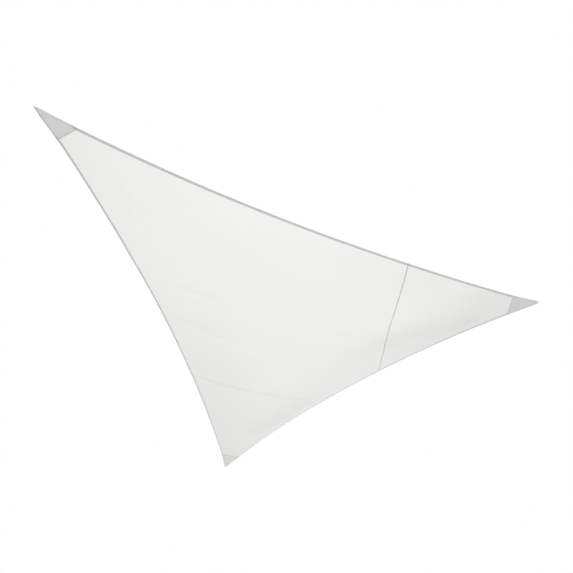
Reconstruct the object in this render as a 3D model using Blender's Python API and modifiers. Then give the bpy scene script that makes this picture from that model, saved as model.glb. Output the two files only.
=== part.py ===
"""Triangular shade sail, hung taut between three points and seen as it hangs.

The sail is one cloth sewn from three panels: a main panel with tip A, a right
panel with tip B and a lower panel with tip C. Each panel's outer edges are
turned under as a hem, the panels lap at two seams, and a patch is sewn under
each tip. Every piece is drawn in the sail's own plane, given the height at
which it hangs there, thickened, and tilted with that plane.

Metres, +Z up. The origin is tip A, the highest corner.
"""

from math import cos, exp, radians, sin
from typing import NamedTuple

import bpy
from mathutils import Vector
from mathutils.geometry import delaunay_2d_cdt, intersect_point_line

# The triangle between the three tips, and how its plane hangs.
SIDE_AB = 3.705
SIDE_BC = 3.415
SIDE_CA = 3.674
HEADING = radians(22.0)  # side AB turned from +X towards +Y
TILT = radians(20.0)  # fall of the plane towards +Y
BELLY = 0.060  # how far the middle of the cloth hangs under the plane
BELLY_LEAN = 0.5  # share by which the belly is deeper towards tip C than tip B
FLAT_REACH = 0.30  # from a tip, where the patch keeps the cloth flat
TIP_FALL = 0.055  # fall of that flat stretch, from a tip to the side facing it

# Cloth and sewing.
CLOTH = 0.0012  # one layer, with its coating
TURNED = 0.0024  # a turned-under hem or border
HEM = 0.019
BORDER = 0.012  # turned-under inner border of a patch
STEP = 0.002  # width over which a turned layer ends
GAP = 0.0004  # between pieces that lie on each other
PATCH_INSET = 0.001  # patch edge inside the sail's edge

# Spacing of the points along an edge, and inside a panel and a patch.
EDGE_SPACING = 0.12
PANEL_SPACING = 0.15
PATCH_SPACING = 0.06
EDGE_CLEARANCE = 0.35  # share of a spacing kept free of inner points at a line

# Along an edge, the mean of the squared distance from its middle, by depth drawn in.
MEAN_SQUARE = 0.2
FLARE_REACH = 0.15  # from a tip, where its edges stand out

COLLECTION = "shade_sail"


class Edge(NamedTuple):
    """A curved outer edge between two tips."""

    start: str
    end: str
    depth: float  # how far the curve's middle is drawn in from the straight side
    lean: float  # share by which the first half is drawn in further
    ends: float  # share by which both ends are drawn in further than the middle
    sag: float  # how far the edge's middle hangs under the plane
    flares: tuple  # how far each end, at a stiff corner, stands out again
    trims: tuple  # how far short of each tip the edge ends


class Seam(NamedTuple):
    """A seam that cuts off one tip, from its first edge to its second."""

    tip: str
    first: str
    first_reach: float  # from the tip, along the side
    second: str
    second_reach: float
    bow: float  # how far its middle curves away from the tip
    lap: float  # overlap of the two panels


class Corner(NamedTuple):
    """The patch under a tip, with its reach along both edges."""

    first: str
    first_reach: float
    second: str
    second_reach: float


EDGES = {
    "ab": Edge("a", "b", 0.099, 0.105, 0.11, 0.006, (0.0, 0.0067), (-0.010, 0.008)),
    "bc": Edge("b", "c", 0.2025, -0.073, -0.084, 0.006, (0.0065, -0.0094), (0.008, 0.014)),
    "ca": Edge("c", "a", 0.1455, -0.113, -0.256, 0.012, (0.018, 0.0115), (0.014, 0.0)),
}
SEAMS = {
    "right": Seam("b", "bc", 1.345, "ab", 1.122, bow=0.013, lap=0.010),
    "lower": Seam("c", "ca", 1.444, "bc", 1.444, bow=-0.030, lap=0.005),
}
CORNERS = {
    "a": Corner("ab", 0.248, "ca", 0.198),
    "b": Corner("bc", 0.242, "ab", 0.229),
    "c": Corner("ca", 0.243, "bc", 0.236),
}


def tips():
    """Place the three tips in the sail's plane from the sides' lengths."""
    across = (SIDE_AB**2 + SIDE_CA**2 - SIDE_BC**2) / (2 * SIDE_AB)
    up = (SIDE_CA**2 - across**2) ** 0.5
    along = Vector((cos(HEADING), sin(HEADING)))
    inward = along.orthogonal()
    return {
        "a": Vector((0.0, 0.0)),
        "b": along * SIDE_AB,
        "c": along * across + inward * up,
    }


TIPS = tips()


def chord(edge):
    """Give an edge's first tip, the straight side from it, and the way inward."""
    first = TIPS[edge.start]
    side = TIPS[edge.end] - first
    return first, side, side.normalized().orthogonal()


def drawn_in(edge, share):
    """How far the curve is drawn in from the side at a share of its length."""
    to_first = 1 - 2 * share
    uneven = 1 + edge.lean * to_first + edge.ends * (to_first**2 - MEAN_SQUARE)
    length = (TIPS[edge.end] - TIPS[edge.start]).length
    reaches = (share * length, (1 - share) * length)
    flare = sum(
        out * exp(-((reach / FLARE_REACH) ** 2)) for out, reach in zip(edge.flares, reaches)
    )
    return edge.depth * 4 * share * (1 - share) * uneven - flare


def on_edge(edge, share, inset=0.0):
    """The point at a share of an edge, or at an inset inside it."""
    first, side, inward = chord(edge)
    small = 0.001
    rise = (drawn_in(edge, share + small) - drawn_in(edge, share - small)) / (2 * small)
    along = (side + inward * rise).normalized()
    return first + side * share + inward * drawn_in(edge, share) + along.orthogonal() * inset


def share_from(edge, tip, reach):
    """The share of an edge at a reach from one of its tips."""
    share = reach / chord(edge)[1].length
    return share if edge.start == tip else 1 - share


def inside_by(edge, point):
    """How far a point lies inside an edge."""
    first, side, inward = chord(edge)
    share = (point - first).dot(side) / side.length_squared
    small = 0.001
    rise = (drawn_in(edge, share + small) - drawn_in(edge, share - small)) / (2 * small)
    straight = side.length / (side.length_squared + rise**2) ** 0.5
    return ((point - first).dot(inward) - drawn_in(edge, share)) * straight


def hang(point):
    """The height of the cloth over the plane of the tips, which is negative."""
    share = {}
    for edge in EDGES.values():
        first, _, inward = chord(edge)
        facing = next(tip for tip in TIPS if tip not in (edge.start, edge.end))
        share[facing] = (point - first).dot(inward) / (TIPS[facing] - first).dot(inward)
    sag = sum(4 * edge.sag * share[edge.start] * share[edge.end] for edge in EDGES.values())
    middle = 27 * share["a"] * share["b"] * share["c"]
    free = -sag - BELLY * middle * (1 + BELLY_LEAN * (share["c"] - share["b"]))
    nearest = max(share, key=share.get)
    flat = -TIP_FALL * (1 - share[nearest])
    past = (point - TIPS[nearest]).length / FLAT_REACH - 1
    past = min(max(past, 0.0), 1.0)
    return flat + (free - flat) * past**2 * (3 - 2 * past)


def even(first, last, spacing):
    """Values from first to last, evenly spaced, about a spacing apart."""
    count = max(1, round(abs(last - first) / spacing))
    return [first + (last - first) * i / count for i in range(count + 1)]


def edge_run(edge, first, last, inset=0.0, spacing=EDGE_SPACING):
    """Points along an edge between two shares of it."""
    length = chord(edge)[1].length
    return [on_edge(edge, share, inset) for share in even(first, last, spacing / length)]


def seam_run(seam, shift=0.0, spacing=EDGE_SPACING):
    """Points along a seam, shifted away from its tip; it ends on both edges."""
    ends = [
        on_edge(EDGES[name], share_from(EDGES[name], seam.tip, reach + shift))
        for name, reach in ((seam.first, seam.first_reach), (seam.second, seam.second_reach))
    ]
    across = ends[1] - ends[0]
    away = (ends[0] - TIPS[seam.tip]).normalized() + (ends[1] - TIPS[seam.tip]).normalized()
    away.normalize()
    return [
        ends[0] + across * share + away * seam.bow * 4 * share * (1 - share)
        for share in even(0.0, 1.0, spacing / across.length)
    ]


def past_ends(points, reach=0.01):
    """A line with a short straight stretch added at both ends."""
    before = points[0] + (points[0] - points[1]).normalized() * reach
    after = points[-1] + (points[-1] - points[-2]).normalized() * reach
    return [before, *points, after]


def distance_to(point, line):
    """The shortest distance from a point to a line of points."""
    best = 1e9
    for start, end in zip(line, line[1:]):
        foot, share = intersect_point_line(point, start, end)
        foot = start if share < 0 else end if share > 1 else foot.to_2d()
        best = min(best, (point - foot).length)
    return best


def inner_points(outline, lines, spacing):
    """A staggered grid of points over the outline, clear of every line."""
    low_x, high_x = min(p.x for p in outline), max(p.x for p in outline)
    low_y, high_y = min(p.y for p in outline), max(p.y for p in outline)
    points = []
    for row, y in enumerate(even(low_y, high_y, spacing * 0.87)):
        for x in even(low_x, high_x, spacing):
            point = Vector((x + (row % 2) * spacing / 2, y))
            if all(distance_to(point, line) > spacing * EDGE_CLEARANCE for line in lines):
                points.append(point)
    return points


def flat_mesh(outline, lines, spacing):
    """Triangulate the outline with the lines as edges; give points and faces."""
    points = list(outline)
    edges = []
    for line in lines:
        start = len(points)
        points += line
        edges += [(start + i, start + i + 1) for i in range(len(line) - 1)]
    points += inner_points(outline, [[*outline, outline[0]], *lines], spacing)
    found = delaunay_2d_cdt(points, edges, [list(range(len(outline)))], 1, 1e-6)
    used = sorted({i for face in found[2] for i in face})
    number = {old: new for new, old in enumerate(used)}
    return [found[0][i] for i in used], [[number[i] for i in face] for face in found[2]]


def cloth_piece(name, outline, lines, spacing, top, is_turned, plane, collection):
    """Make one sewn piece: a hung surface, thickened downwards, with turned layers."""
    points, faces = flat_mesh(outline, lines, spacing)
    mesh = bpy.data.meshes.new(name)
    mesh.from_pydata([(p.x, p.y, hang(p) + top) for p in points], [], faces)
    piece = bpy.data.objects.new(name, mesh)
    collection.objects.link(piece)
    piece.parent = plane
    turned = piece.vertex_groups.new(name="turned")
    turned.add([i for i, p in enumerate(points) if is_turned(p)], 1.0, "REPLACE")
    solidify = piece.modifiers.new("thickness", "SOLIDIFY")
    solidify.thickness = TURNED
    solidify.offset = -1
    solidify.vertex_group = turned.name
    solidify.thickness_vertex_group = CLOTH / TURNED
    piece.data.materials.append(white_cloth(name))
    return piece


def white_cloth(name):
    """A matt white cloth for one piece."""
    material = bpy.data.materials.new(name)
    material.use_nodes = True
    shader = material.node_tree.nodes["Principled BSDF"]
    shader.inputs["Base Color"].default_value = (0.86, 0.86, 0.85, 1.0)
    shader.inputs["Roughness"].default_value = 0.85
    shader.inputs["Metallic"].default_value = 0.0
    return material


def in_hem(point):
    """Whether a point is under a turned outer edge."""
    return min(inside_by(edge, point) for edge in EDGES.values()) < HEM + STEP / 2


def hem_lines(edge, first, last):
    """The line where a hem ends, and the line where its last step ends."""
    return [past_ends(edge_run(edge, first, last, inset)) for inset in (HEM, HEM + STEP)]


def blunt_share(edge, tip):
    """The share of an edge at which its blunt tip starts."""
    return share_from(edge, tip, edge.trims[0 if edge.start == tip else 1])


def main_panel(plane, collection):
    """The large panel with tip A, between both seams."""
    right, lower = SEAMS["right"], SEAMS["lower"]
    ab, bc, ca = EDGES["ab"], EDGES["bc"], EDGES["ca"]
    stretches = [
        (ab, blunt_share(ab, "a"), share_from(ab, "b", right.second_reach)),
        (bc, share_from(bc, "b", right.first_reach), share_from(bc, "c", lower.second_reach)),
        (ca, share_from(ca, "c", lower.first_reach), blunt_share(ca, "a")),
    ]
    runs = [edge_run(*stretch) for stretch in stretches]
    outline = [
        *runs[0],
        *reversed(seam_run(right)[1:-1]),
        *runs[1],
        *reversed(seam_run(lower)[1:-1]),
        *runs[2],
    ]
    lines = [line for stretch in stretches for line in hem_lines(*stretch)]
    lines += [past_ends(seam_run(seam, seam.lap)) for seam in (right, lower)]
    cloth_piece(
        "main_panel", outline, lines, PANEL_SPACING, 0.0, in_hem, plane, collection
    )


def tip_panel(name, seam, plane, collection):
    """A panel that ends in a tip, lapped over the main panel past its seam."""
    first, second = EDGES[seam.first], EDGES[seam.second]
    stretches = [
        (second, share_from(second, seam.tip, seam.second_reach + seam.lap), blunt_share(second, seam.tip)),
        (first, blunt_share(first, seam.tip), share_from(first, seam.tip, seam.first_reach + seam.lap)),
    ]
    lap_end = seam_run(seam, seam.lap)
    outline = [*edge_run(*stretches[0]), *edge_run(*stretches[1]), *lap_end[1:-1]]
    lines = [line for stretch in stretches for line in hem_lines(*stretch)]
    seam_line, hem_end = seam_run(seam), seam_run(seam, -STEP)
    lines += [past_ends(seam_line), past_ends(hem_end)]

    def is_turned(point):
        """Whether a point is in the hem, which ends just short of the lap."""
        return in_hem(point) and distance_to(point, hem_end) < distance_to(point, seam_line)

    cloth_piece(
        name, outline, lines, PANEL_SPACING, CLOTH + GAP, is_turned, plane, collection
    )


def corner_patch(name, tip, cloth_top, plane, collection):
    """The patch under a tip, with its inner border turned in."""
    corner = CORNERS[tip]
    first, second = EDGES[corner.first], EDGES[corner.second]
    stretches = [
        (second, share_from(second, tip, corner.second_reach), blunt_share(second, tip)),
        (first, blunt_share(first, tip), share_from(first, tip, corner.first_reach)),
    ]
    runs = [edge_run(*stretch, PATCH_INSET, PATCH_SPACING) for stretch in stretches]
    outline = [*runs[0], *runs[1]]
    inner, outer = runs[1][-1], runs[0][0]
    towards_tip = (TIPS[tip] - (inner + outer) / 2).normalized()
    border_lines = [
        past_ends([inner + towards_tip * width, outer + towards_tip * width])
        for width in (BORDER, BORDER + STEP)
    ]

    def is_turned(point):
        """Whether a point is in the turned-in inner border."""
        return distance_to(point, [inner, outer]) < BORDER + STEP / 2

    top = cloth_top - TURNED - GAP
    cloth_piece(
        name, outline, border_lines, PATCH_SPACING, top, is_turned, plane, collection
    )


def main():
    """Clear the scene and make the sail."""
    for old in list(bpy.data.objects):
        bpy.data.objects.remove(old, do_unlink=True)
    collection = bpy.data.collections.new(COLLECTION)
    bpy.context.scene.collection.children.link(collection)
    plane = bpy.data.objects.new("sail_plane", None)
    plane.rotation_euler = (-TILT, 0.0, 0.0)
    collection.objects.link(plane)

    main_panel(plane, collection)
    tip_panel("right_panel", SEAMS["right"], plane, collection)
    tip_panel("lower_panel", SEAMS["lower"], plane, collection)
    corner_patch("patch_a", "a", 0.0, plane, collection)
    corner_patch("patch_b", "b", CLOTH + GAP, plane, collection)
    corner_patch("patch_c", "c", CLOTH + GAP, plane, collection)


main()
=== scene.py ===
"""A white triangular shade sail, hung taut from its three tips and seen from below.

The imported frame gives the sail's place and size. This script sews the visible sail
around it: three panels of woven cloth with turned-under hems, two seams, a patch
under each tip and every row of stitches, lit from above in a plain pale studio.
Metres throughout; the sail's plane is described in its own flat coordinates.
"""

import logging
import math
from dataclasses import dataclass, field
from enum import Enum

import bmesh
import bpy
import numpy as np
from mathutils import Euler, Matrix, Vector
from mathutils.geometry import delaunay_2d_cdt


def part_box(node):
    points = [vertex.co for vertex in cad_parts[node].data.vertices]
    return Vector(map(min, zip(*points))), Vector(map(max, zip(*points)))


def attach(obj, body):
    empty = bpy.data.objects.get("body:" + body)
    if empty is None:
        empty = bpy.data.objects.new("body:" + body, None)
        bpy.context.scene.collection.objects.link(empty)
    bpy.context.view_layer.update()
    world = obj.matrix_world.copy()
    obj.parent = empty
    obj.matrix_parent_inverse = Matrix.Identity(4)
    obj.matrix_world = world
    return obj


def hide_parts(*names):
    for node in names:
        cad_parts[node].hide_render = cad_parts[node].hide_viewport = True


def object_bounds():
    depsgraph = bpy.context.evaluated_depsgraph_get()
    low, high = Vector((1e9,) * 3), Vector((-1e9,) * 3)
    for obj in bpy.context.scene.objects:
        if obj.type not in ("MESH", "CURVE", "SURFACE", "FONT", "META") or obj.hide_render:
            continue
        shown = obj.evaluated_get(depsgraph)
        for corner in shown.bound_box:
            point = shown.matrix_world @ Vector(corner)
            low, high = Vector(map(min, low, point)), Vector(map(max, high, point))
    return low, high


Array = np.ndarray
Face = tuple[int, ...]
Pair = tuple[float, float]
Material = bpy.types.Material
Object = bpy.types.Object
Socket = bpy.types.NodeSocket
Tree = bpy.types.NodeTree

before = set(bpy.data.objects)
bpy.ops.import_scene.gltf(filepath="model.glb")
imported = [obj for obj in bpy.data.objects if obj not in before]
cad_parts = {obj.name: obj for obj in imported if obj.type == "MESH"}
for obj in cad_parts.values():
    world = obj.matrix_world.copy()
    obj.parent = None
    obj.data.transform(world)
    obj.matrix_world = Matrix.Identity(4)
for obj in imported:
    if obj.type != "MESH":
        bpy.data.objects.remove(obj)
CAD_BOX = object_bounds()
BODY = "root"
LOG = logging.getLogger("shade_sail")

# Folds turned more sharply than this are shaded as edges, so that the cloth beside
# a hem keeps its own light.
CREASED_EDGE = math.radians(25.0)

# Along an edge, the mean of the squared distance from its middle, by depth drawn in.
MEAN_SQUARE = 0.2
FLARE_REACH = 0.15  # from a tip, where its edges stand out
HELD_REACH = 0.10  # from an edge, where its hem holds the cloth from creasing
HEADING = math.radians(22.0)  # side AB, and with it the weave, turned from +X to +Y

# Shares of half a crease's length: where it keeps its height, and over which it fades.
CREASE_FULL = 0.35
CREASE_FADE = 0.5

# The cloth's shallow uneven waves.
WAVE_LENGTHS = (0.85, 0.62, 0.47, 0.36, 0.29, 0.23)
WAVE_SEED = 7

# Heights over the top of the piece they belong to, or of the main panel's.
TURNED_UP = 0.0004
PATCH_FACE = -0.0020
PATCH_BORDER = -0.0008
PATCH_DROP = 0.0028
PANEL_LIFT = 0.0016

# The hems' widths where each edge starts and ends; edge BC's runs out towards tip C.
HEM_WIDTHS = {"ab": (0.0175, 0.0165), "bc": (0.0125, 0.002), "ca": (0.0095, 0.0148)}
TRIM_INSIDE = 0.03  # from a patch's border to where the hem over it is narrow
TAPER = 0.02  # over which it grows to its full width
MITRE_STEPS = 40  # halvings that find where two hems meet

# Where the stitches run: from an edge, and as shares of a seam and a patch's border.
STITCH_INSIDE = 0.0025
SEAM_STITCHED = (0.012, 0.988)
BORDER_STITCHED = (0.05, 0.95)

# The spacing of points inside a piece, and how many there are along a line.
PANEL_SPACING = 0.024
PATCH_SPACING = 0.020
ROW_SPACING = 0.87  # from row to row, as a share of the spacing in a row
CLEARANCE = 0.45  # the same, from the outline to the nearest points
SEAM_POINTS = 110
SEAM_PATH_POINTS = 200
PATCH_POINTS = 24
BORDER_POINTS = 16
BORDER_PATH_POINTS = 30
STITCH_POINTS = 10  # on one stitch
WELD = 0.00002  # within which points that meet are joined

BLACK = (0.0, 0.0, 0.0, 1.0)
FLOOR_CORNERS = ((-1, -1), (1, -1), (1, 1), (-1, 1))


class Tip(Enum):
    """The sail's three tips."""

    A = "a"
    B = "b"
    C = "c"


# --------------------------------------------------------------------------- plan


def eased(share: Array) -> Array:
    """Shares from 0 to 1, eased at both ends."""
    share = np.clip(share, 0.0, 1.0)
    return share**2 * (3 - 2 * share)


@dataclass(frozen=True)
class DrawnCurve:
    """A line between two points, with its middle drawn over to its left.

    Attributes:
        first: Where the line starts.
        last: Where it ends.
        depth: How far the middle is drawn over.
        lean: Share by which the first half is drawn over further.
        ends: Share by which both ends are drawn over further than the middle.
        flares: How far each end stands out again, at a stiff corner.
    """

    first: Array
    last: Array
    depth: float
    lean: float = 0.0
    ends: float = 0.0
    flares: Pair = (0.0, 0.0)

    @property
    def length(self) -> float:
        """The straight distance between both ends."""
        return float(np.linalg.norm(self.last - self.first))

    @property
    def left(self) -> Array:
        """The direction to the line's left."""
        side = (self.last - self.first) / self.length
        return np.array([-side[1], side[0]])

    def drawn(self, share: Array) -> Array:
        """How far the line is drawn over at shares of its length."""
        to_first = 1 - 2 * share
        uneven = 1 + self.lean * to_first + self.ends * (to_first**2 - MEAN_SQUARE)
        reaches = (share * self.length, (1 - share) * self.length)
        flare = sum(
            out * np.exp(-((reach / FLARE_REACH) ** 2)) for out, reach in zip(self.flares, reaches)
        )
        return self.depth * 4 * share * (1 - share) * uneven - flare

    def rise(self, share: Array) -> Array:
        """The slope of the drawn line, per share of its length."""
        small = 1e-4
        return (self.drawn(share + small) - self.drawn(share - small)) / (2 * small)

    def at(self, share: Array, inset: Array | float = 0.0) -> Array:
        """Points on the line, or at an inset to its left.

        Args:
            share: Shares of the line's length.
            inset: Distance to the left of the line, one for all or one each.

        Returns:
            An array of flat points.
        """
        share = np.atleast_1d(np.asarray(share, float))
        along = (self.last - self.first)[None] + self.left[None] * self.rise(share)[:, None]
        along /= np.linalg.norm(along, axis=1)[:, None]
        normal = np.stack([-along[:, 1], along[:, 0]], axis=1)
        inset = np.broadcast_to(np.asarray(inset, float), share.shape)
        spine = self.first + (self.last - self.first) * share[:, None]
        return spine + self.left * self.drawn(share)[:, None] + normal * inset[:, None]

    def inset_of(self, points: Array) -> Array:
        """How far points lie to the left of the line."""
        reach = points - self.first
        share = reach @ (self.last - self.first) / self.length**2
        straight = self.length / np.hypot(self.length, self.rise(share))
        return (reach @ self.left - self.drawn(share)) * straight

    def share_of(self, points: Array) -> Array:
        """The shares of the line's length beside which points lie."""
        return (points - self.first) @ (self.last - self.first) / self.length**2


@dataclass(frozen=True)
class EdgeSize:
    """The sizes of one outer edge of the sail.

    Attributes:
        start: The tip it starts from.
        end: The tip it runs to.
        depth: How far its middle is drawn in.
        lean: Share by which its first half is drawn in further.
        ends: Share by which both ends are drawn in further than its middle.
        sag: How far its middle hangs under the plane of the tips.
        flares: How far each end, at a stiff corner, stands out again.
        trims: How far short of each tip it ends.
    """

    start: Tip
    end: Tip
    depth: float
    lean: float
    ends: float
    sag: float
    flares: Pair
    trims: Pair


@dataclass(frozen=True)
class CornerSize:
    """How far a patch, or a panel up to its seam, reaches along the edges from its tip.

    Attributes:
        tip: The tip.
        first: The edge that leaves the tip.
        first_reach: How far it reaches along that edge.
        second: The edge that comes to the tip.
        second_reach: How far it reaches along that one.
    """

    tip: Tip
    first: str
    first_reach: float
    second: str
    second_reach: float

    def reach_on(self, edge: str) -> float:
        """How far it reaches along one of its edges."""
        return self.first_reach if edge == self.first else self.second_reach


@dataclass(frozen=True)
class SeamSize(CornerSize):
    """The sizes of a seam that cuts off one tip.

    Attributes:
        bow: How far its middle curves away from the tip.
        lap: How far the tip's panel lies over the main panel.
        turn: How wide the main panel's edge is turned up inside the lap.
    """

    bow: float
    lap: float
    turn: float


@dataclass(frozen=True)
class Crease:
    """A soft trough or ridge that was left in the hung cloth.

    Attributes:
        start: Where it starts, in the sail's plane.
        end: Where it runs out.
        width: Half its width.
        height: How high it stands, or how deep it lies if negative.
        bow: How far its middle curves to its left.
        left_width: Half its width on its left side, if that differs.
    """

    start: Pair
    end: Pair
    width: float
    height: float
    bow: float = 0.0
    left_width: float | None = None

    def rise(self, points: Array) -> Array:
        """The height that this crease adds at flat points."""
        line = DrawnCurve(np.array(self.start), np.array(self.end), self.bow)
        share = line.share_of(points)
        past = np.clip(np.abs(share - 0.5) * 2 - CREASE_FULL, 0.0, None) / CREASE_FADE
        inset = line.inset_of(points)
        width = np.where(inset > 0, self.left_width or self.width, self.width)
        return self.height * np.exp(-((inset / width) ** 2) - past**2)


@dataclass
class SailPlan:
    """The sail's plane: its tips, edges and seams, and the height at which it hangs.

    Attributes:
        side_ab: The distance between tips A and B.
        side_bc: The distance between tips B and C.
        side_ca: The distance between tips C and A.
        tilt: The fall of the plane towards +Y.
        belly: How far the middle of the cloth hangs under the plane.
        belly_lean: Share by which the belly is deeper towards tip C than tip B.
        flat_reach: From a tip, where its patch keeps the cloth flat.
        tip_fall: Fall of that flat stretch, from a tip to the side facing it.
        ripple: Height of the cloth's uneven waves, per metre of their length.
        creases: The creases left in the cloth.
        edge_sizes: The sizes of the three edges.
    """

    side_ab: float = 3.705
    side_bc: float = 3.415
    side_ca: float = 3.674
    tilt: float = math.radians(20.0)
    belly: float = 0.060
    belly_lean: float = 0.5
    flat_reach: float = 0.30
    tip_fall: float = 0.055
    ripple: float = 0.0008
    creases: tuple[Crease, ...] = ()
    edge_sizes: dict[str, EdgeSize] = field(
        default_factory=lambda: {
            "ab": EdgeSize(Tip.A, Tip.B, 0.099, 0.105, 0.11, 0.006, (0.0, 0.0067), (-0.010, 0.008)),
            "bc": EdgeSize(Tip.B, Tip.C, 0.2025, -0.073, -0.084, 0.006, (0.0065, -0.0094), (0.008, 0.014)),
            "ca": EdgeSize(Tip.C, Tip.A, 0.1455, -0.113, -0.256, 0.012, (0.018, 0.0115), (0.014, 0.0)),
        }
    )

    def __post_init__(self) -> None:
        """Place the tips from the sides' lengths, and lay out the edges."""
        across = (self.side_ab**2 + self.side_ca**2 - self.side_bc**2) / (2 * self.side_ab)
        up = math.sqrt(self.side_ca**2 - across**2)
        along = np.array([math.cos(HEADING), math.sin(HEADING)])
        inward = np.array([-along[1], along[0]])
        self.tips = {Tip.A: np.zeros(2), Tip.B: along * self.side_ab, Tip.C: along * across + inward * up}
        self.edges = {
            name: DrawnCurve(
                self.tips[size.start], self.tips[size.end], size.depth, size.lean, size.ends, size.flares
            )
            for name, size in self.edge_sizes.items()
        }

    def share_from(self, edge: str, tip: Tip, reach: float) -> float:
        """The share of an edge at a reach from one of its tips."""
        share = reach / self.edges[edge].length
        return share if self.edge_sizes[edge].start is tip else 1 - share

    def seam(self, size: SeamSize, shift: float = 0.0) -> DrawnCurve:
        """A seam's line, shifted away from its tip; the tip is to its left."""
        ends = [
            self.edges[name].at(self.share_from(name, size.tip, reach + shift))[0]
            for name, reach in ((size.first, size.first_reach), (size.second, size.second_reach))
        ]
        return DrawnCurve(ends[0], ends[1], -size.bow)

    def height(self, points: Array) -> Array:
        """The cloth's height over the plane of the tips.

        Args:
            points: Flat points.

        Returns:
            One height for each; most are negative, because the cloth hangs.
        """
        share = {}
        for name, size in self.edge_sizes.items():
            line = self.edges[name]
            facing = next(tip for tip in Tip if tip not in (size.start, size.end))
            depth = (self.tips[facing] - line.first) @ line.left
            share[facing] = (points - line.first) @ line.left / depth
        sag = sum(4 * s.sag * share[s.start] * share[s.end] for s in self.edge_sizes.values())
        middle = 27 * share[Tip.A] * share[Tip.B] * share[Tip.C]
        free = -sag - self.belly * middle * (1 + self.belly_lean * (share[Tip.C] - share[Tip.B]))
        creases = self.held(points) * sum(crease.rise(points) for crease in self.creases)
        free = free + creases + self.unevenness(points)
        result = free
        for tip in Tip:
            distance = np.linalg.norm(points - self.tips[tip], axis=1)
            blend = eased(distance / self.flat_reach - 1)
            result = np.where(
                distance < 2 * self.flat_reach,
                -self.tip_fall * (1 - share[tip]) * (1 - blend) + free * blend,
                result,
            )
        return result

    def held(self, points: Array) -> Array:
        """How freely the cloth creases at points: not at all on an edge."""
        inset = np.min([line.inset_of(points) for line in self.edges.values()], axis=0)
        return eased(inset / HELD_REACH)

    def trimmed(self, edge: str, tip: Tip, further: float = 0.0) -> float:
        """The share of an edge at which it ends at a tip, or a bit further from it."""
        size = self.edge_sizes[edge]
        return self.share_from(edge, tip, size.trims[0 if size.start is tip else 1] + further)

    def unevenness(self, points: Array) -> Array:
        """Shallow waves of uneven length that no hand can pull out of the cloth."""
        random = np.random.default_rng(WAVE_SEED)
        waves = np.zeros(len(points))
        for length in WAVE_LENGTHS:
            turn, phase = random.uniform(0, 2 * math.pi, 2)
            way = np.array([math.cos(turn), math.sin(turn)])
            waves += length * np.sin(points @ way * 2 * math.pi / length + phase)
        return self.ripple * waves

    def place(self, points: Array, lift: Array | float = 0.0) -> Array:
        """Flat points as the sail hangs, in the row frame.

        Args:
            points: Flat points.
            lift: Height over the cloth's surface, one for all or one each.

        Returns:
            An array of points in space.
        """
        rise = self.height(points) + lift
        across, along = points[:, 0], points[:, 1]
        fall, level = math.sin(self.tilt), math.cos(self.tilt)
        return np.stack([across, along * level + rise * fall, rise * level - along * fall], axis=1)


# ------------------------------------------------------------------------ finishes


def linear(hex_colour: str) -> tuple[float, float, float, float]:
    """Turn an sRGB hex colour, such as #F2F2F2, into linear RGBA."""
    channels = [int(hex_colour[i : i + 2], 16) / 255 for i in (1, 3, 5)]
    return (*(c / 12.92 if c <= 0.04045 else ((c + 0.055) / 1.055) ** 2.4 for c in channels), 1.0)


def add_node(
    tree: Tree,
    kind: str,
    settings: dict[str, object] | None = None,
    inputs: dict[str | int, object] | None = None,
) -> bpy.types.Node:
    """Add a shader node.

    Args:
        tree: The node tree it goes in.
        kind: The node's Blender type.
        settings: Values of the node's own properties.
        inputs: For each input, a value, or an output socket to link from.

    Returns:
        The new node.
    """
    node = tree.nodes.new(kind)
    for name, value in (settings or {}).items():
        setattr(node, name, value)
    for name, value in (inputs or {}).items():
        if isinstance(value, Socket):
            tree.links.new(value, node.inputs[name])
        else:
            node.inputs[name].default_value = value
    return node


def new_material(name: str) -> tuple[Material, Tree]:
    """A material with an empty node tree."""
    material = bpy.data.materials.new(name)
    material.use_nodes = True
    material.node_tree.nodes.clear()
    return material, material.node_tree


def ranged(tree: Tree, value: Socket, span: Pair, result: Pair) -> Socket:
    """A value, brought from one span to another."""
    inputs = {0: value, 1: span[0], 2: span[1], 3: result[0], 4: result[1]}
    return add_node(tree, "ShaderNodeMapRange", inputs=inputs).outputs[0]


def combined(tree: Tree, operation: str, values: list[Socket]) -> Socket:
    """Two values added or multiplied."""
    return add_node(tree, "ShaderNodeMath", {"operation": operation}, dict(enumerate(values))).outputs[0]


def toned(tree: Tree, tone: Socket, hex_colour: str) -> Socket:
    """A colour, darkened by a tone of less than 1."""
    inputs = {"Factor": tone, 6: BLACK, 7: linear(hex_colour)}
    return add_node(tree, "ShaderNodeMix", {"data_type": "RGBA"}, inputs).outputs[2]


def let_light_through(tree: Tree, face: bpy.types.Node, through: bpy.types.Node, passing: float) -> None:
    """Finish a material of which a share lets light through."""
    mixed = add_node(
        tree, "ShaderNodeMixShader", inputs={0: passing, 1: face.outputs[0], 2: through.outputs[0]}
    )
    add_node(tree, "ShaderNodeOutputMaterial", inputs={"Surface": mixed.outputs[0]})


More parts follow.
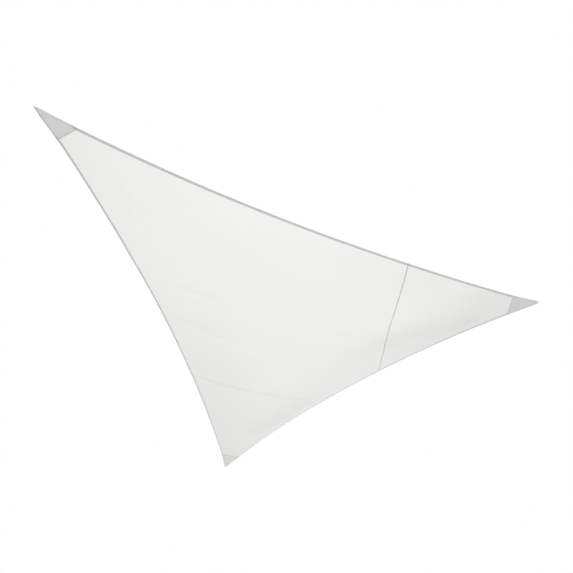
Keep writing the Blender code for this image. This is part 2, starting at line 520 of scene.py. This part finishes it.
@dataclass(frozen=True)
class WovenPolyester:
    """Plain-woven polyester sheeting with a thin coating.

    It scatters light through and back almost evenly, so it glows softly with the sky
    behind it and each further layer of it looks darker. The threads give a fine grain,
    and thick and thin stretches of yarn give faint streaks along and across.

    Attributes:
        name: The material's name.
        colour: The cloth's own colour, as sRGB hex.
        passing: Share of the scattered light that goes through one layer.
        thread: Distance between two threads. Real ones lie 0.5 mm apart.
        grain: How much the threads' grain darkens the cloth between them.
        streak: How much uneven yarn darkens or lightens it.
    """

    name: str
    colour: str
    passing: float
    thread: float = 0.0012
    grain: float = 0.03
    streak: float = 0.02

    def material(self) -> Material:
        """Build the cloth's material."""
        material, tree = new_material(self.name)
        place = add_node(tree, "ShaderNodeTexCoord").outputs["Object"]
        turned = add_node(
            tree, "ShaderNodeMapping", inputs={"Vector": place, "Rotation": (0.0, 0.0, -HEADING)}
        ).outputs["Vector"]
        weave = self._weave(tree, turned)
        tone = combined(tree, "MULTIPLY", [weave, self._streaks(tree, turned)])
        colour = toned(tree, tone, self.colour)
        bump = add_node(
            tree, "ShaderNodeBump", inputs={"Strength": 0.25, "Distance": 0.0004, "Height": weave}
        ).outputs["Normal"]
        face = add_node(
            tree,
            "ShaderNodeBsdfPrincipled",
            inputs={
                "Base Color": colour,
                "Roughness": 0.82,
                "IOR": 1.48,
                "Specular IOR Level": 0.25,
                "Sheen Weight": 0.08,
                "Sheen Roughness": 0.5,
                "Normal": bump,
            },
        )
        through = add_node(tree, "ShaderNodeBsdfTranslucent", inputs={"Color": colour, "Normal": bump})
        let_light_through(tree, face, through, self.passing)
        return material

    def _weave(self, tree: Tree, place: Socket) -> Socket:
        """Warp and weft threads, as 1 on a thread and a little less between two."""
        # At a scale of 1, a wave texture repeats every pi / 10.
        scale = math.pi / 10 / self.thread
        bands = [
            add_node(
                tree,
                "ShaderNodeTexWave",
                {"wave_type": "BANDS", "bands_direction": way},
                {"Vector": place, "Scale": scale, "Distortion": 0.6, "Detail": 1.0, "Detail Scale": 0.4},
            ).outputs["Fac"]
            for way in ("X", "Y")
        ]
        return ranged(tree, combined(tree, "ADD", bands), (0.0, 2.0), (1.0 - self.grain, 1.0))

    def _streaks(self, tree: Tree, place: Socket) -> Socket:
        """Faint long streaks of thick and thin yarn, both ways, about a tone of 1."""
        noises = []
        for stretch in ((2.0, 90.0, 2.0), (90.0, 2.0, 2.0)):
            scaling = {"Vector": place, "Scale": stretch}
            scaled = add_node(tree, "ShaderNodeMapping", inputs=scaling).outputs["Vector"]
            noise = {"Vector": scaled, "Scale": 1.0, "Detail": 3.0}
            noises.append(add_node(tree, "ShaderNodeTexNoise", inputs=noise).outputs["Fac"])
        return ranged(tree, combined(tree, "ADD", noises), (0.6, 1.4), (1.0 - self.streak, 1.0))


@dataclass(frozen=True)
class SewingThread:
    """Bonded polyester sewing thread: white, a little glossier than the cloth."""

    name: str = "bonded_polyester_thread"
    colour: str = "#FAFAF9"
    passing: float = 0.7

    def material(self) -> Material:
        """Build the thread's material, with its two plies as fine slanting bands."""
        material, tree = new_material(self.name)
        place = add_node(tree, "ShaderNodeTexCoord").outputs["Object"]
        plies = add_node(
            tree,
            "ShaderNodeTexWave",
            {"wave_type": "BANDS", "bands_direction": "DIAGONAL"},
            {"Vector": place, "Scale": 400.0},
        ).outputs["Fac"]
        colour = toned(tree, ranged(tree, plies, (0.0, 1.0), (0.86, 1.0)), self.colour)
        face = add_node(
            tree, "ShaderNodeBsdfPrincipled", inputs={"Base Color": colour, "Roughness": 0.55, "IOR": 1.5}
        )
        through = add_node(tree, "ShaderNodeBsdfTranslucent", inputs={"Color": colour})
        let_light_through(tree, face, through, self.passing)
        return material


@dataclass(frozen=True)
class PaleFloor:
    """A matt pale studio floor, faintly mottled."""

    name: str = "painted_studio_floor"
    colour: str = "#E4E4E3"

    def material(self) -> Material:
        """Build the floor's material."""
        material, tree = new_material(self.name)
        place = add_node(tree, "ShaderNodeTexCoord").outputs["Object"]
        mottle = add_node(
            tree, "ShaderNodeTexNoise", inputs={"Vector": place, "Scale": 1.5, "Detail": 4.0}
        ).outputs["Fac"]
        colour = toned(tree, ranged(tree, mottle, (0.0, 1.0), (0.96, 1.0)), self.colour)
        face = add_node(
            tree, "ShaderNodeBsdfPrincipled", inputs={"Base Color": colour, "Roughness": 0.9}
        )
        add_node(tree, "ShaderNodeOutputMaterial", inputs={"Surface": face.outputs[0]})
        return material


# -------------------------------------------------------------------------- meshes


def new_object(name: str, points: Array, faces: list[Face], material: Material) -> Object:
    """Make a smooth-shaded mesh object.

    Args:
        name: The piece's name.
        points: Its points in the row frame.
        faces: Its faces, as numbers of points.
        material: Its material.

    Returns:
        The new object, linked to the scene.
    """
    mesh = bpy.data.meshes.new(name)
    mesh.from_pydata(points.tolist(), [], faces)
    mesh.validate()
    mesh.shade_smooth()
    mesh.materials.append(material)
    made = bpy.data.objects.new(name, mesh)
    bpy.context.scene.collection.objects.link(made)
    return made


@dataclass
class Cloth:
    """Points and faces of one sewn piece while it is put together."""

    points: list[Array] = field(default_factory=list)
    faces: list[Face] = field(default_factory=list)
    count: int = 0

    def add(self, points: Array, faces: list[Face]) -> None:
        """Add points, and faces that count from the first of them."""
        self.faces += [tuple(i + self.count for i in face) for face in faces]
        self.points.append(points)
        self.count += len(points)

    def add_strip(self, rows: list[Array]) -> None:
        """Add the quads between rows of points, as many in each."""
        length = len(rows[0])
        faces = [
            (r * length + i, (r + 1) * length + i, (r + 1) * length + i + 1, r * length + i + 1)
            for r in range(len(rows) - 1)
            for i in range(length - 1)
        ]
        self.add(np.concatenate(rows), faces)

    def build(self, name: str, material: Material) -> Object:
        """Join what was added into one object, welded where stretches meet."""
        made = new_object(name, np.concatenate(self.points), self.faces, material)
        mesh = bmesh.new()
        mesh.from_mesh(made.data)
        bmesh.ops.remove_doubles(mesh, verts=mesh.verts, dist=WELD)
        mesh.to_mesh(made.data)
        mesh.free()
        made.data.set_sharp_from_angle(angle=CREASED_EDGE)
        return made


def folded(low: float, high: float, back: float) -> list[Pair]:
    """The cross-section of cloth that is folded up and back over itself.

    Args:
        low: Height of the cloth.
        high: Height of the part folded over it.
        back: How far that part reaches.

    Returns:
        Insets from the fold's line, negative past it, each with its height.
    """
    half = (high - low) / 2
    bend = [
        (-half * math.sin(turn), low + half * (1 - math.cos(turn)))
        for turn in np.radians([0, 60, 120, 180])
    ]
    return bend + [(back * share, high) for share in (0.5, 1.0)]


def flat_area(flat: Array, triangles: list[Face]) -> float:
    """The area of flat triangles."""
    a, b, c = (flat[[t[i] for t in triangles]] for i in range(3))
    first, second = b - a, c - a
    return float(np.abs(first[:, 0] * second[:, 1] - first[:, 1] * second[:, 0]).sum() / 2)


@dataclass(frozen=True)
class Layers:
    """The heights of the layers of cloth, over a panel's own top.

    Attributes:
        face: The cloth itself.
        tuck: The raw edge, tucked inside a hem.
        under: The turned-under side of a hem.
        fold: How far a folded edge bulges past the face.
    """

    face: float = -0.0004
    tuck: float = -0.0012
    under: float = -0.0020
    fold: float = 0.0008


LAYERS = Layers()


@dataclass(frozen=True)
class Hem:
    """One stretch of a panel's outer edge, turned under twice.

    Attributes:
        line: The sail's edge, with the panel to its left.
        start: The share of the edge where the stretch starts.
        end: The share where it ends.
        start_meets: The edge whose hem it meets in a mitre at its start, if any.
        end_meets: The same at its end.
        widths: How wide the hem is at the start and at the end of the whole edge.
        spacing: Distance between its points.
        under_patch: How far from the tip it is trimmed, where the patch hides it.
        narrow: Share of its width left there.
    """

    line: DrawnCurve
    start: float
    end: float
    start_meets: DrawnCurve | None = None
    end_meets: DrawnCurve | None = None
    widths: Pair = (0.017, 0.017)
    spacing: float = 0.012
    under_patch: float = 0.0
    narrow: float = 0.08

    @property
    def width(self) -> float:
        """The hem's width where it is widest."""
        return max(self.widths)

    def grown(self, shares: Array) -> Array:
        """The hem's width as a share of its widest, at shares of the edge."""
        result = np.interp(shares, (0.0, 1.0), self.widths) / self.width
        for end, meets in ((self.start, self.start_meets), (self.end, self.end_meets)):
            if meets is not None:
                reach = np.abs(shares - end) * self.line.length
                past_patch = np.clip((reach - self.under_patch) / TAPER, 0.0, 1.0)
                result = result * (self.narrow + (1 - self.narrow) * past_patch)
        return result

    def mitre(self, share: float, meets: DrawnCurve | None, inset: float) -> float:
        """The share at which a row at an inset meets the other hem.

        Args:
            share: The share of the edge at that end of the stretch.
            meets: The edge of the other hem, if any.
            inset: The row's distance inside the edge.

        Returns:
            The share where the row ends.
        """
        if meets is None:
            return share
        near, far = share, 0.5
        for _ in range(MITRE_STEPS):
            middle = (near + far) / 2
            if meets.inset_of(self.line.at(middle, inset))[0] < inset:
                near = middle
            else:
                far = middle
        return near

    def row(self, inset: float) -> Array:
        """Flat points along the hem at an inset, mitred at both ends."""
        count = max(2, round(abs(self.end - self.start) * self.line.length / self.spacing))
        trimmed = inset if inset <= LAYERS.fold else inset * self.narrow
        ends = (
            self.mitre(self.start, self.start_meets, trimmed),
            self.mitre(self.end, self.end_meets, trimmed),
        )
        shares = np.linspace(*ends, count + 1)
        insets = inset if trimmed == inset else inset * self.grown(shares)
        return self.line.at(shares, insets)

    def section(self) -> list[Pair]:
        """The hem's cross-section, as insets and heights, from the face to the tuck."""
        middle = (LAYERS.face + LAYERS.under) / 2
        outer = [
            (LAYERS.fold * (1 - math.sin(turn)), middle + (LAYERS.face - middle) * math.cos(turn))
            for turn in np.radians([0, 40, 90, 140, 180])
        ]
        bend = (LAYERS.tuck - LAYERS.under) / 2
        inner = [
            (self.width - bend * (1 - math.sin(turn)), LAYERS.under + bend * (1 - math.cos(turn)))
            for turn in np.radians([0, 60, 120, 180])
        ]
        flat = [(share * self.width, LAYERS.under) for share in (0.3, 0.6, 0.85)]
        tucked = [(share * self.width, LAYERS.tuck) for share in (0.7, 0.4, 0.12)]
        return outer + flat + inner + tucked

    def cut_area(self) -> float:
        """The flat area of the cloth turned under."""
        shares = np.linspace(self.start, self.end, 60)
        run = abs(self.end - self.start) * self.line.length
        return float(self.grown(shares).mean()) * self.width * run * 2


@dataclass(frozen=True)
class StitchRow:
    """One row of stitches through a piece of cloth.

    Attributes:
        path: Flat points along the row.
        top: Height of the upper side of the cloth there.
        bottom: Height of its lower side.
    """

    path: Array
    top: float
    bottom: float


@dataclass(frozen=True)
class Stitching:
    """Lockstitch: the same short stitches on both sides of the cloth.

    Attributes:
        pitch: Distance from one stitch to the next.
        gap: Share of it where the thread dives through the cloth.
        thread: Half the thread's width.
    """

    pitch: float = 0.0045
    gap: float = 0.26
    thread: float = 0.00028

    def stitch_ends(self, path: Array) -> tuple[Array, Array]:
        """Flat start and end points of every stitch along a path."""
        steps = np.linalg.norm(np.diff(path, axis=0), axis=1)
        reach = np.concatenate([[0.0], np.cumsum(steps)])
        starts = np.arange(self.pitch / 2, reach[-1] - self.pitch, self.pitch)
        stops = starts + self.pitch * (1 - self.gap)
        return tuple(
            np.stack([np.interp(at, reach, path[:, axis]) for axis in (0, 1)], axis=1)
            for at in (starts, stops)
        )

    def one_side(self, path: Array, height: float, way: float) -> Array:
        """Points of the stitches on one side of the cloth, STITCH_POINTS for each.

        Args:
            path: Flat points along the row.
            height: Height of the cloth's surface on that side.
            way: 1 for the upper side and -1 for the lower.

        Returns:
            Points as x, y and height.
        """
        starts, stops = self.stitch_ends(path)
        along = stops - starts
        side = np.stack([-along[:, 1], along[:, 0]], axis=1)
        side = side / np.linalg.norm(side, axis=1)[:, None] * self.thread
        middle = height + way * self.thread * 0.6
        columns = []
        for share in (0.0, 0.22, 0.78, 1.0):
            centre = starts + along * share
            if share in (0.0, 1.0):
                low = np.full(len(centre), height - way * self.thread)
                columns.append(np.column_stack([centre, low]))
                continue
            for sideways, up in ((1, 0), (0, 1), (-1, 0), (0, -1)):
                rise = np.full(len(centre), middle + up * self.thread)
                columns.append(np.column_stack([centre + side * sideways, rise]))
        return np.stack(columns, axis=1).reshape(-1, 3)

    def build(self, name: str, plan: SailPlan, rows: list[StitchRow], material: Material) -> Object:
        """Sew every row, on both sides.

        Args:
            name: The piece's name.
            plan: The sail's plane.
            rows: The rows.
            material: The thread's material.

        Returns:
            One object with all the stitches.
        """
        points = np.concatenate(
            [self.one_side(row.path, row.top, 1.0) for row in rows]
            + [self.one_side(row.path, row.bottom, -1.0) for row in rows]
        )
        around = [(1, 2), (2, 3), (3, 4), (4, 1)]
        faces = []
        for first in range(0, len(points), STITCH_POINTS):
            faces += [(first, first + j, first + i) for i, j in around]
            faces += [(first + i, first + j, first + j + 4, first + i + 4) for i, j in around]
            last = first + STITCH_POINTS - 1
            faces += [(last, first + i + 4, first + j + 4) for i, j in around]
        return new_object(name, plan.place(points[:, :2], points[:, 2]), faces, material)


@dataclass
class SewnPiece:
    """One piece of cloth, cut flat and sewn to the others.

    Attributes:
        node: The name of the CAD node it stands for.
        slot: The name of its material slot; not used.
        plan: The sail's plane.
        top: Height of its top over the main panel's.
        spacing: Distance between the points inside it.
        rests_on: The nodes of the pieces it is sewn to; not used.
    """

    node: str
    slot: str
    plan: SailPlan
    top: float
    spacing: float
    rests_on: tuple[str, ...] = ()

    @property
    def name(self) -> str:
        """The visible piece's name."""
        return f"{self.node}_cloth"

    def add_face(
        self, cloth: Cloth, outline: Array, limits: list[tuple[DrawnCurve, float]], height: float
    ) -> float:
        """Triangulate the flat face of the piece and lay it.

        Args:
            cloth: The piece's points and faces, to which it is added.
            outline: Its outline, with the piece to the left.
            limits: Lines that bound it, each with 1 if it lies to the left or -1.
            height: Its height in the piece.

        Returns:
            Its flat area.
        """
        low, high = outline.min(axis=0), outline.max(axis=0)
        rows = np.arange(low[1], high[1], self.spacing * ROW_SPACING)
        columns = np.arange(low[0], high[0], self.spacing)
        grid = np.stack(np.meshgrid(columns, rows), axis=-1)
        grid[1::2, :, 0] += self.spacing / 2
        inner = grid.reshape(-1, 2)
        for line, side in limits:
            inner = inner[side * line.inset_of(inner) > self.spacing * CLEARANCE]
        points = [Vector(p) for p in np.concatenate([outline, inner])]
        found = delaunay_2d_cdt(points, [], [list(range(len(outline)))], 1, 1e-7)
        flat, triangles = np.array([tuple(p) for p in found[0]]), [tuple(face) for face in found[2]]
        cloth.add(self.lay(flat, height), triangles)
        return flat_area(flat, triangles)

    def lay(self, flat: Array, height: float) -> Array:
        """Place flat points at a height in the piece."""
        return self.plan.place(flat, height + self.top)

    def add_hems(self, cloth: Cloth, hems: list[Hem]) -> tuple[float, list[StitchRow]]:
        """Turn the piece's hems under and stitch them.

        Args:
            cloth: The piece's points and faces, to which they are added.
            hems: The hems.

        Returns:
            The flat area of the cloth turned under, and the rows of stitches.
        """
        for hem in hems:
            cloth.add_strip([self.lay(hem.row(inset), height) for inset, height in hem.section()])
        paths = [hem.row(hem.width - STITCH_INSIDE) for hem in hems]
        rows = [StitchRow(path, self.top + LAYERS.face, self.top + LAYERS.under) for path in paths]
        return sum(hem.cut_area() for hem in hems), rows

    def sew_in(
        self, cloth: Cloth, cut_area: float, rows: list[StitchRow], fabric: Material, thread: Material
    ) -> Object:
        """Build the piece with its stitches, and log its faces, cut area and distance from its CAD box.

        Args:
            cloth: Its points and faces.
            cut_area: The area of its flat cut.
            rows: The rows of stitches that go with it.
            fabric: The cloth's material.
            thread: The thread's material.

        Returns:
            The cloth's object.
        """
        made = cloth.build(self.name, fabric)
        stitches = Stitching().build(f"{self.node}_stitches", self.plan, rows, thread)
        for piece in (made, stitches):
            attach(piece, BODY)
            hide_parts(self.node)
        points = np.array([vertex.co for vertex in made.data.vertices])
        low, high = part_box(self.node)
        gap = max(np.abs(points.min(axis=0) - low).max(), np.abs(points.max(axis=0) - high).max())
        LOG.info(
            "%s: %d faces, %d stitch faces, cut %.3f m2, within %.1f mm of its CAD box",
            made.name, len(made.data.polygons), len(stitches.data.polygons), cut_area, gap * 1000,
        )
        return made


@dataclass
class MainPanel(SewnPiece):
    """The panel with tip A, between both seams, with its hems and turned-up seam edge.

    Attributes:
        right: The seam to the right panel.
        lower: The seam to the lower panel.
    """

    right: SeamSize | None = None
    lower: SeamSize | None = None

    def hems(self) -> list[Hem]:
        """The three stretches of hem."""
        plan, ab, bc, ca = self.plan, *self.plan.edges.values()
        return [
            Hem(
                ab,
                plan.trimmed("ab", Tip.A),
                plan.share_from("ab", Tip.B, self.right.second_reach),
                start_meets=ca,
                widths=HEM_WIDTHS["ab"],
                under_patch=PATCH_A.first_reach - TRIM_INSIDE,
            ),
            Hem(
                bc,
                plan.share_from("bc", Tip.B, self.right.first_reach),
                plan.share_from("bc", Tip.C, self.lower.second_reach),
                widths=HEM_WIDTHS["bc"],
            ),
            Hem(
                ca,
                plan.share_from("ca", Tip.C, self.lower.first_reach),
                plan.trimmed("ca", Tip.A),
                end_meets=ab,
                widths=HEM_WIDTHS["ca"],
                under_patch=PATCH_A.second_reach - TRIM_INSIDE,
                narrow=0.55,
            ),
        ]

    def build(self, fabric: Material, thread: Material) -> Object:
        """Cut, hem and sew the main panel."""
        cloth, plan, hems = Cloth(), self.plan, self.hems()
        seams = [plan.seam(self.right), plan.seam(self.lower)]
        faces = [hem.row(LAYERS.fold) for hem in hems]
        runs = [seam.at(np.linspace(1.0, 0.0, SEAM_POINTS)[1:-1]) for seam in seams]
        outline = np.concatenate([faces[0], runs[0], faces[1], runs[1], faces[2]])
        limits = [(edge, 1.0) for edge in plan.edges.values()] + [(seam, -1.0) for seam in seams]
        area = self.add_face(cloth, outline, limits, LAYERS.face)
        hemmed, rows = self.add_hems(cloth, hems)
        area += hemmed
        for size, seam in zip((self.right, self.lower), seams):
            if size.turn:
                cloth.add_strip(self.turned_up(size))
                area += seam.length * size.turn
        return self.sew_in(cloth, area, rows, fabric, thread)

    def turned_up(self, size: SeamSize) -> list[Array]:
        """The edge turned up and back inside a seam's lap, as rows of points."""
        shares = np.linspace(0.0, 1.0, SEAM_POINTS)
        section = folded(LAYERS.face, TURNED_UP, size.turn)
        return [self.lay(self.plan.seam(size, shift).at(shares), height) for shift, height in section]


@dataclass
class TipPanel(SewnPiece):
    """A panel that ends in a tip, lapped over the main panel past its seam.

    Attributes:
        seam: The seam that joins it to the main panel.
        patch: The patch under its tip.
    """

    seam: SeamSize | None = None
    patch: CornerSize | None = None

    def hem(self, name: str, meets: str, from_seam: bool) -> Hem:
        """The hem along one edge, between the seam and the tip.

        Args:
            name: The edge.
            meets: The edge whose hem it meets at the tip.
            from_seam: Whether it starts at the seam, and not at the tip.

        Returns:
            The hem.
        """
        plan, tip = self.plan, self.seam.tip
        at_seam = plan.share_from(name, tip, self.seam.reach_on(name))
        at_tip = plan.trimmed(name, tip)
        other = plan.edges[meets]
        start, end = (at_seam, at_tip) if from_seam else (at_tip, at_seam)
        return Hem(
            plan.edges[name],
            start,
            end,
            start_meets=None if from_seam else other,
            end_meets=other if from_seam else None,
            widths=HEM_WIDTHS[name],
            under_patch=self.patch.reach_on(name) - TRIM_INSIDE,
        )

    def build(self, fabric: Material, thread: Material) -> Object:
        """Cut, hem and sew the panel."""
        cloth, plan, seam = Cloth(), self.plan, self.seam
        to_tip = self.hem(seam.second, seam.first, from_seam=True)
        from_tip = self.hem(seam.first, seam.second, from_seam=False)
        lap_end = plan.seam(seam, seam.lap)
        before = plan.share_from(seam.second, seam.tip, seam.second_reach + seam.lap)
        after = plan.share_from(seam.first, seam.tip, seam.first_reach + seam.lap)
        outline = np.concatenate(
            [
                to_tip.line.at([before], LAYERS.fold),
                to_tip.row(LAYERS.fold),
                from_tip.row(LAYERS.fold),
                from_tip.line.at([after], LAYERS.fold),
                lap_end.at(np.linspace(0.0, 1.0, SEAM_POINTS)[1:-1]),
            ]
        )
        limits = [(to_tip.line, 1.0), (from_tip.line, 1.0), (lap_end, 1.0)]
        area = self.add_face(cloth, outline, limits, LAYERS.face)
        hemmed, rows = self.add_hems(cloth, [to_tip, from_tip])
        path = plan.seam(seam, seam.lap / 2).at(np.linspace(*SEAM_STITCHED, SEAM_PATH_POINTS))
        rows.append(StitchRow(path, self.top + LAYERS.face, LAYERS.face))
        return self.sew_in(cloth, area + hemmed, rows, fabric, thread)


@dataclass
class CornerPatch(SewnPiece):
    """The patch sewn under a tip, with its inner border turned in.

    Attributes:
        size: Its sizes.
        inset: How far it lies inside the sail's edge.
        border: How wide its turned-in border is.
        slant: How far each end of the border is cut back, per distance turned in.
    """

    size: CornerSize | None = None
    inset: float = 0.001
    border: float = 0.006
    slant: float = 0.9

    def build(self, fabric: Material, thread: Material) -> Object:
        """Cut, turn in and sew the patch."""
        cloth, plan, size = Cloth(), self.plan, self.size
        coming, leaving = plan.edges[size.second], plan.edges[size.first]
        to_tip = np.linspace(
            plan.share_from(size.second, size.tip, size.second_reach),
            plan.trimmed(size.second, size.tip, self.inset),
            PATCH_POINTS,
        )
        from_tip = np.linspace(
            plan.trimmed(size.first, size.tip, self.inset),
            plan.share_from(size.first, size.tip, size.first_reach),
            PATCH_POINTS,
        )
        sides = [coming.at(to_tip, self.inset), leaving.at(from_tip, self.inset)]
        inner = DrawnCurve(sides[1][-1], sides[0][0], 0.0)
        run = np.linspace(0.0, 1.0, BORDER_POINTS)
        outline = np.concatenate([*sides, inner.at(run[1:-1])])
        limits = [(coming, 1.0), (leaving, 1.0), (inner, 1.0)]
        area = self.add_face(cloth, outline, limits, PATCH_FACE) + inner.length * self.border
        cloth.add_strip(self.turned_in(inner, run))
        inside = self.inset + STITCH_INSIDE
        paths = [
            np.concatenate([coming.at(to_tip[1:-2], inside), leaving.at(from_tip[2:-1], inside)]),
            inner.at(np.linspace(*BORDER_STITCHED, BORDER_PATH_POINTS), STITCH_INSIDE),
        ]
        panel_top = self.top + PATCH_DROP
        rows = [StitchRow(path, panel_top + LAYERS.face, self.top + PATCH_FACE) for path in paths]
        return self.sew_in(cloth, area, rows, fabric, thread)

    def turned_in(self, inner: DrawnCurve, run: Array) -> list[Array]:
        """The border turned up and in, between the patch and the cloth, as rows."""
        rows = []
        for inset, height in folded(PATCH_FACE, PATCH_BORDER, self.border):
            trim = max(inset, 0.0) * self.slant / inner.length
            shares = trim + run * (1 - 2 * trim)
            rows.append(self.lay(inner.at(shares, inset), height))
        return rows


# ------------------------------------------------------------------------- studio


@dataclass(frozen=True)
class SoftLight:
    """A soft box, out of the camera's sight.

    Attributes:
        name: The light's name.
        place: Where it hangs.
        target: What it points at.
        size: Its side.
        power: Its power in watts.
    """

    name: str
    place: tuple[float, float, float]
    target: tuple[float, float, float]
    size: float
    power: float

    def build(self) -> None:
        """Hang the light."""
        data = bpy.data.lights.new(self.name, "AREA")
        data.size = self.size
        data.energy = self.power
        light = bpy.data.objects.new(self.name, data)
        light.location = self.place
        aim = Vector(self.target) - Vector(self.place)
        light.rotation_euler = aim.to_track_quat("-Z", "Y").to_euler()
        light.visible_camera = False
        bpy.context.scene.collection.objects.link(light)


@dataclass(frozen=True)
class Viewpoint:
    """Where the camera stands, and the way it looks.

    Attributes:
        place: Where it stands.
        heading: The way it faces, from +Y towards +X.
        pitch: How far it looks up.
        roll: How far it leans to the right.
        lens: Its focal length in millimetres, on a 36 mm sensor.
    """

    place: tuple[float, float, float]
    heading: float
    pitch: float
    roll: float
    lens: float

    def build(self) -> None:
        """Set up the scene's camera."""
        data = bpy.data.cameras.new("camera")
        data.sensor_width = 36.0
        data.lens = self.lens
        camera = bpy.data.objects.new("camera", data)
        turn = Euler((0.0, 0.0, -self.heading)).to_matrix()
        turn @= Euler((math.pi / 2 + self.pitch, 0.0, 0.0)).to_matrix()
        turn @= Euler((0.0, 0.0, -self.roll)).to_matrix()
        camera.rotation_euler = turn.to_euler()
        camera.location = self.place
        bpy.context.scene.collection.objects.link(camera)
        bpy.context.scene.camera = camera


@dataclass
class Studio:
    """A white room with a pale floor, soft light from above, and the camera.

    Attributes:
        ambient: Brightness of the white that surrounds the sail and lights it.
        backdrop: Brightness of that white where the camera sees it.
        floor_height: Height of the floor.
        floor_size: Side of the floor.
        lights: The soft boxes.
        viewpoint: The camera.
    """

    ambient: float
    backdrop: float
    floor_height: float
    floor_size: float
    lights: tuple[SoftLight, ...]
    viewpoint: Viewpoint

    def build(self) -> None:
        """Set up the room, the lights and the camera."""
        scene = bpy.context.scene
        scene.view_settings.view_transform = "Standard"
        scene.world = bpy.data.worlds.new("white_room")
        scene.world.use_nodes = True
        tree = scene.world.node_tree
        tree.nodes.clear()
        seen = add_node(tree, "ShaderNodeLightPath").outputs["Is Camera Ray"]
        strength = ranged(tree, seen, (0.0, 1.0), (self.ambient, self.backdrop))
        white = add_node(
            tree, "ShaderNodeBackground", inputs={"Color": linear("#FFFFFF"), "Strength": strength}
        )
        add_node(tree, "ShaderNodeOutputWorld", inputs={"Surface": white.outputs[0]})
        for light in self.lights:
            light.build()
        self.viewpoint.build()
        self.floor()
        LOG.info("studio: %d lights, floor at %.2f m", len(self.lights), self.floor_height)

    def floor(self) -> None:
        """Lay the pale floor."""
        x, y = (CAD_BOX[0] + CAD_BOX[1]).xy / 2
        half = self.floor_size / 2
        corners = [(x + i * half, y + j * half, self.floor_height) for i, j in FLOOR_CORNERS]
        made = new_object("floor", np.array(corners), [(0, 1, 2, 3)], PaleFloor().material())


# ---------------------------------------------------------------- the sail's sizes

RIGHT_SEAM = SeamSize(Tip.B, "bc", 1.350, "ab", 1.125, bow=-0.002, lap=0.011, turn=0.0095)
LOWER_SEAM = SeamSize(Tip.C, "ca", 1.462, "bc", 1.406, bow=-0.053, lap=0.0086, turn=0.0)

PATCH_A = CornerSize(Tip.A, "ab", 0.248, "ca", 0.198)
PATCH_B = CornerSize(Tip.B, "bc", 0.242, "ab", 0.229)
PATCH_C = CornerSize(Tip.C, "ca", 0.243, "bc", 0.236)

CREASES = (
    # Folds beside edge BC, steep towards it, pulled from tip to tip.
    Crease((3.28, 1.29), (2.02, 1.82), width=0.15, height=0.030, bow=-0.01, left_width=0.30),
    Crease((1.74, 2.26), (0.98, 3.00), width=0.14, height=0.028, left_width=0.34),
    Crease((2.45, 1.50), (0.96, 2.50), width=0.27, height=0.030, bow=-0.02, left_width=0.75),
    # The cloth bulges where it is pulled hardest, from tip A to the middle.
    Crease((0.70, 0.62), (1.98, 1.44), width=0.17, height=0.007, bow=-0.02),
    # Short wrinkles off edge CA.
    Crease((0.50, 1.19), (1.02, 1.38), width=0.018, height=-0.0042, bow=-0.015),
    Crease((0.66, 1.32), (0.92, 1.50), width=0.014, height=-0.0028, bow=-0.01),
    Crease((0.57, 1.53), (1.06, 1.80), width=0.020, height=-0.0042, bow=-0.02),
    Crease((0.63, 1.69), (0.88, 1.76), width=0.014, height=-0.0026),
    # Wrinkles in the neck of tip A.
    Crease((0.34, 0.50), (0.60, 0.73), width=0.024, height=-0.0036),
    Crease((0.35, 0.65), (0.57, 0.79), width=0.020, height=-0.0029),
    Crease((0.28, 0.40), (0.42, 0.55), width=0.018, height=-0.0022),
    # Wrinkles that run into the right seam.
    Crease((1.78, 1.68), (2.14, 1.79), width=0.022, height=-0.0022),
    Crease((1.98, 1.46), (2.36, 1.53), width=0.018, height=-0.0028),
    Crease((2.19, 1.25), (2.37, 1.31), width=0.014, height=-0.0020),
    Crease((2.34, 1.77), (2.66, 1.74), width=0.020, height=-0.0016),
)
VIEWPOINT = Viewpoint(
    place=(1.4726, -1.133, -2.1938),
    heading=math.radians(-0.081),
    pitch=math.radians(37.506),
    roll=math.radians(-0.151),
    lens=24.0,
)
LIGHTS = (
    SoftLight("sky", (1.40, 1.16, 3.3), (1.45, 1.15, -0.3), size=2.2, power=115.5),
    SoftLight("ground_fill", (2.0, 2.8, -3.3), (1.8, 2.2, -1.0), size=2.6, power=48.0),
)


def main() -> None:
    """Sew the sail, light it, and check its size against the frame's."""
    logging.basicConfig(level=logging.INFO, format="%(message)s")
    plan = SailPlan(creases=CREASES)
    cloth = WovenPolyester("woven_white_polyester", "#F3F3F2", passing=0.61).material()
    patch_cloth = WovenPolyester("woven_white_polyester_patch", "#F3F3F2", passing=0.61).material()
    thread = SewingThread().material()
    MainPanel(
        "main_panel", "cloth", plan, 0.0, PANEL_SPACING, right=RIGHT_SEAM, lower=LOWER_SEAM
    ).build(cloth, thread)
    for node, seam, patch in (
        ("right_panel", RIGHT_SEAM, PATCH_B),
        ("lower_panel", LOWER_SEAM, PATCH_C),
    ):
        TipPanel(
            node, "cloth", plan, PANEL_LIFT, PANEL_SPACING, ("main_panel",), seam=seam, patch=patch
        ).build(cloth, thread)
    for node, panel, cloth_top, size in (
        ("patch_a", "main_panel", 0.0, PATCH_A),
        ("patch_b", "right_panel", PANEL_LIFT, PATCH_B),
        ("patch_c", "lower_panel", PANEL_LIFT, PATCH_C),
    ):
        CornerPatch(
            node, "patch", plan, cloth_top - PATCH_DROP, PATCH_SPACING, (panel,), size=size
        ).build(patch_cloth, thread)
    Studio(
        ambient=0.51,
        backdrop=1.0,
        floor_height=-3.5,
        floor_size=10.0,
        lights=LIGHTS,
        viewpoint=VIEWPOINT,
    ).build()


if __name__ == "__main__":
    main()
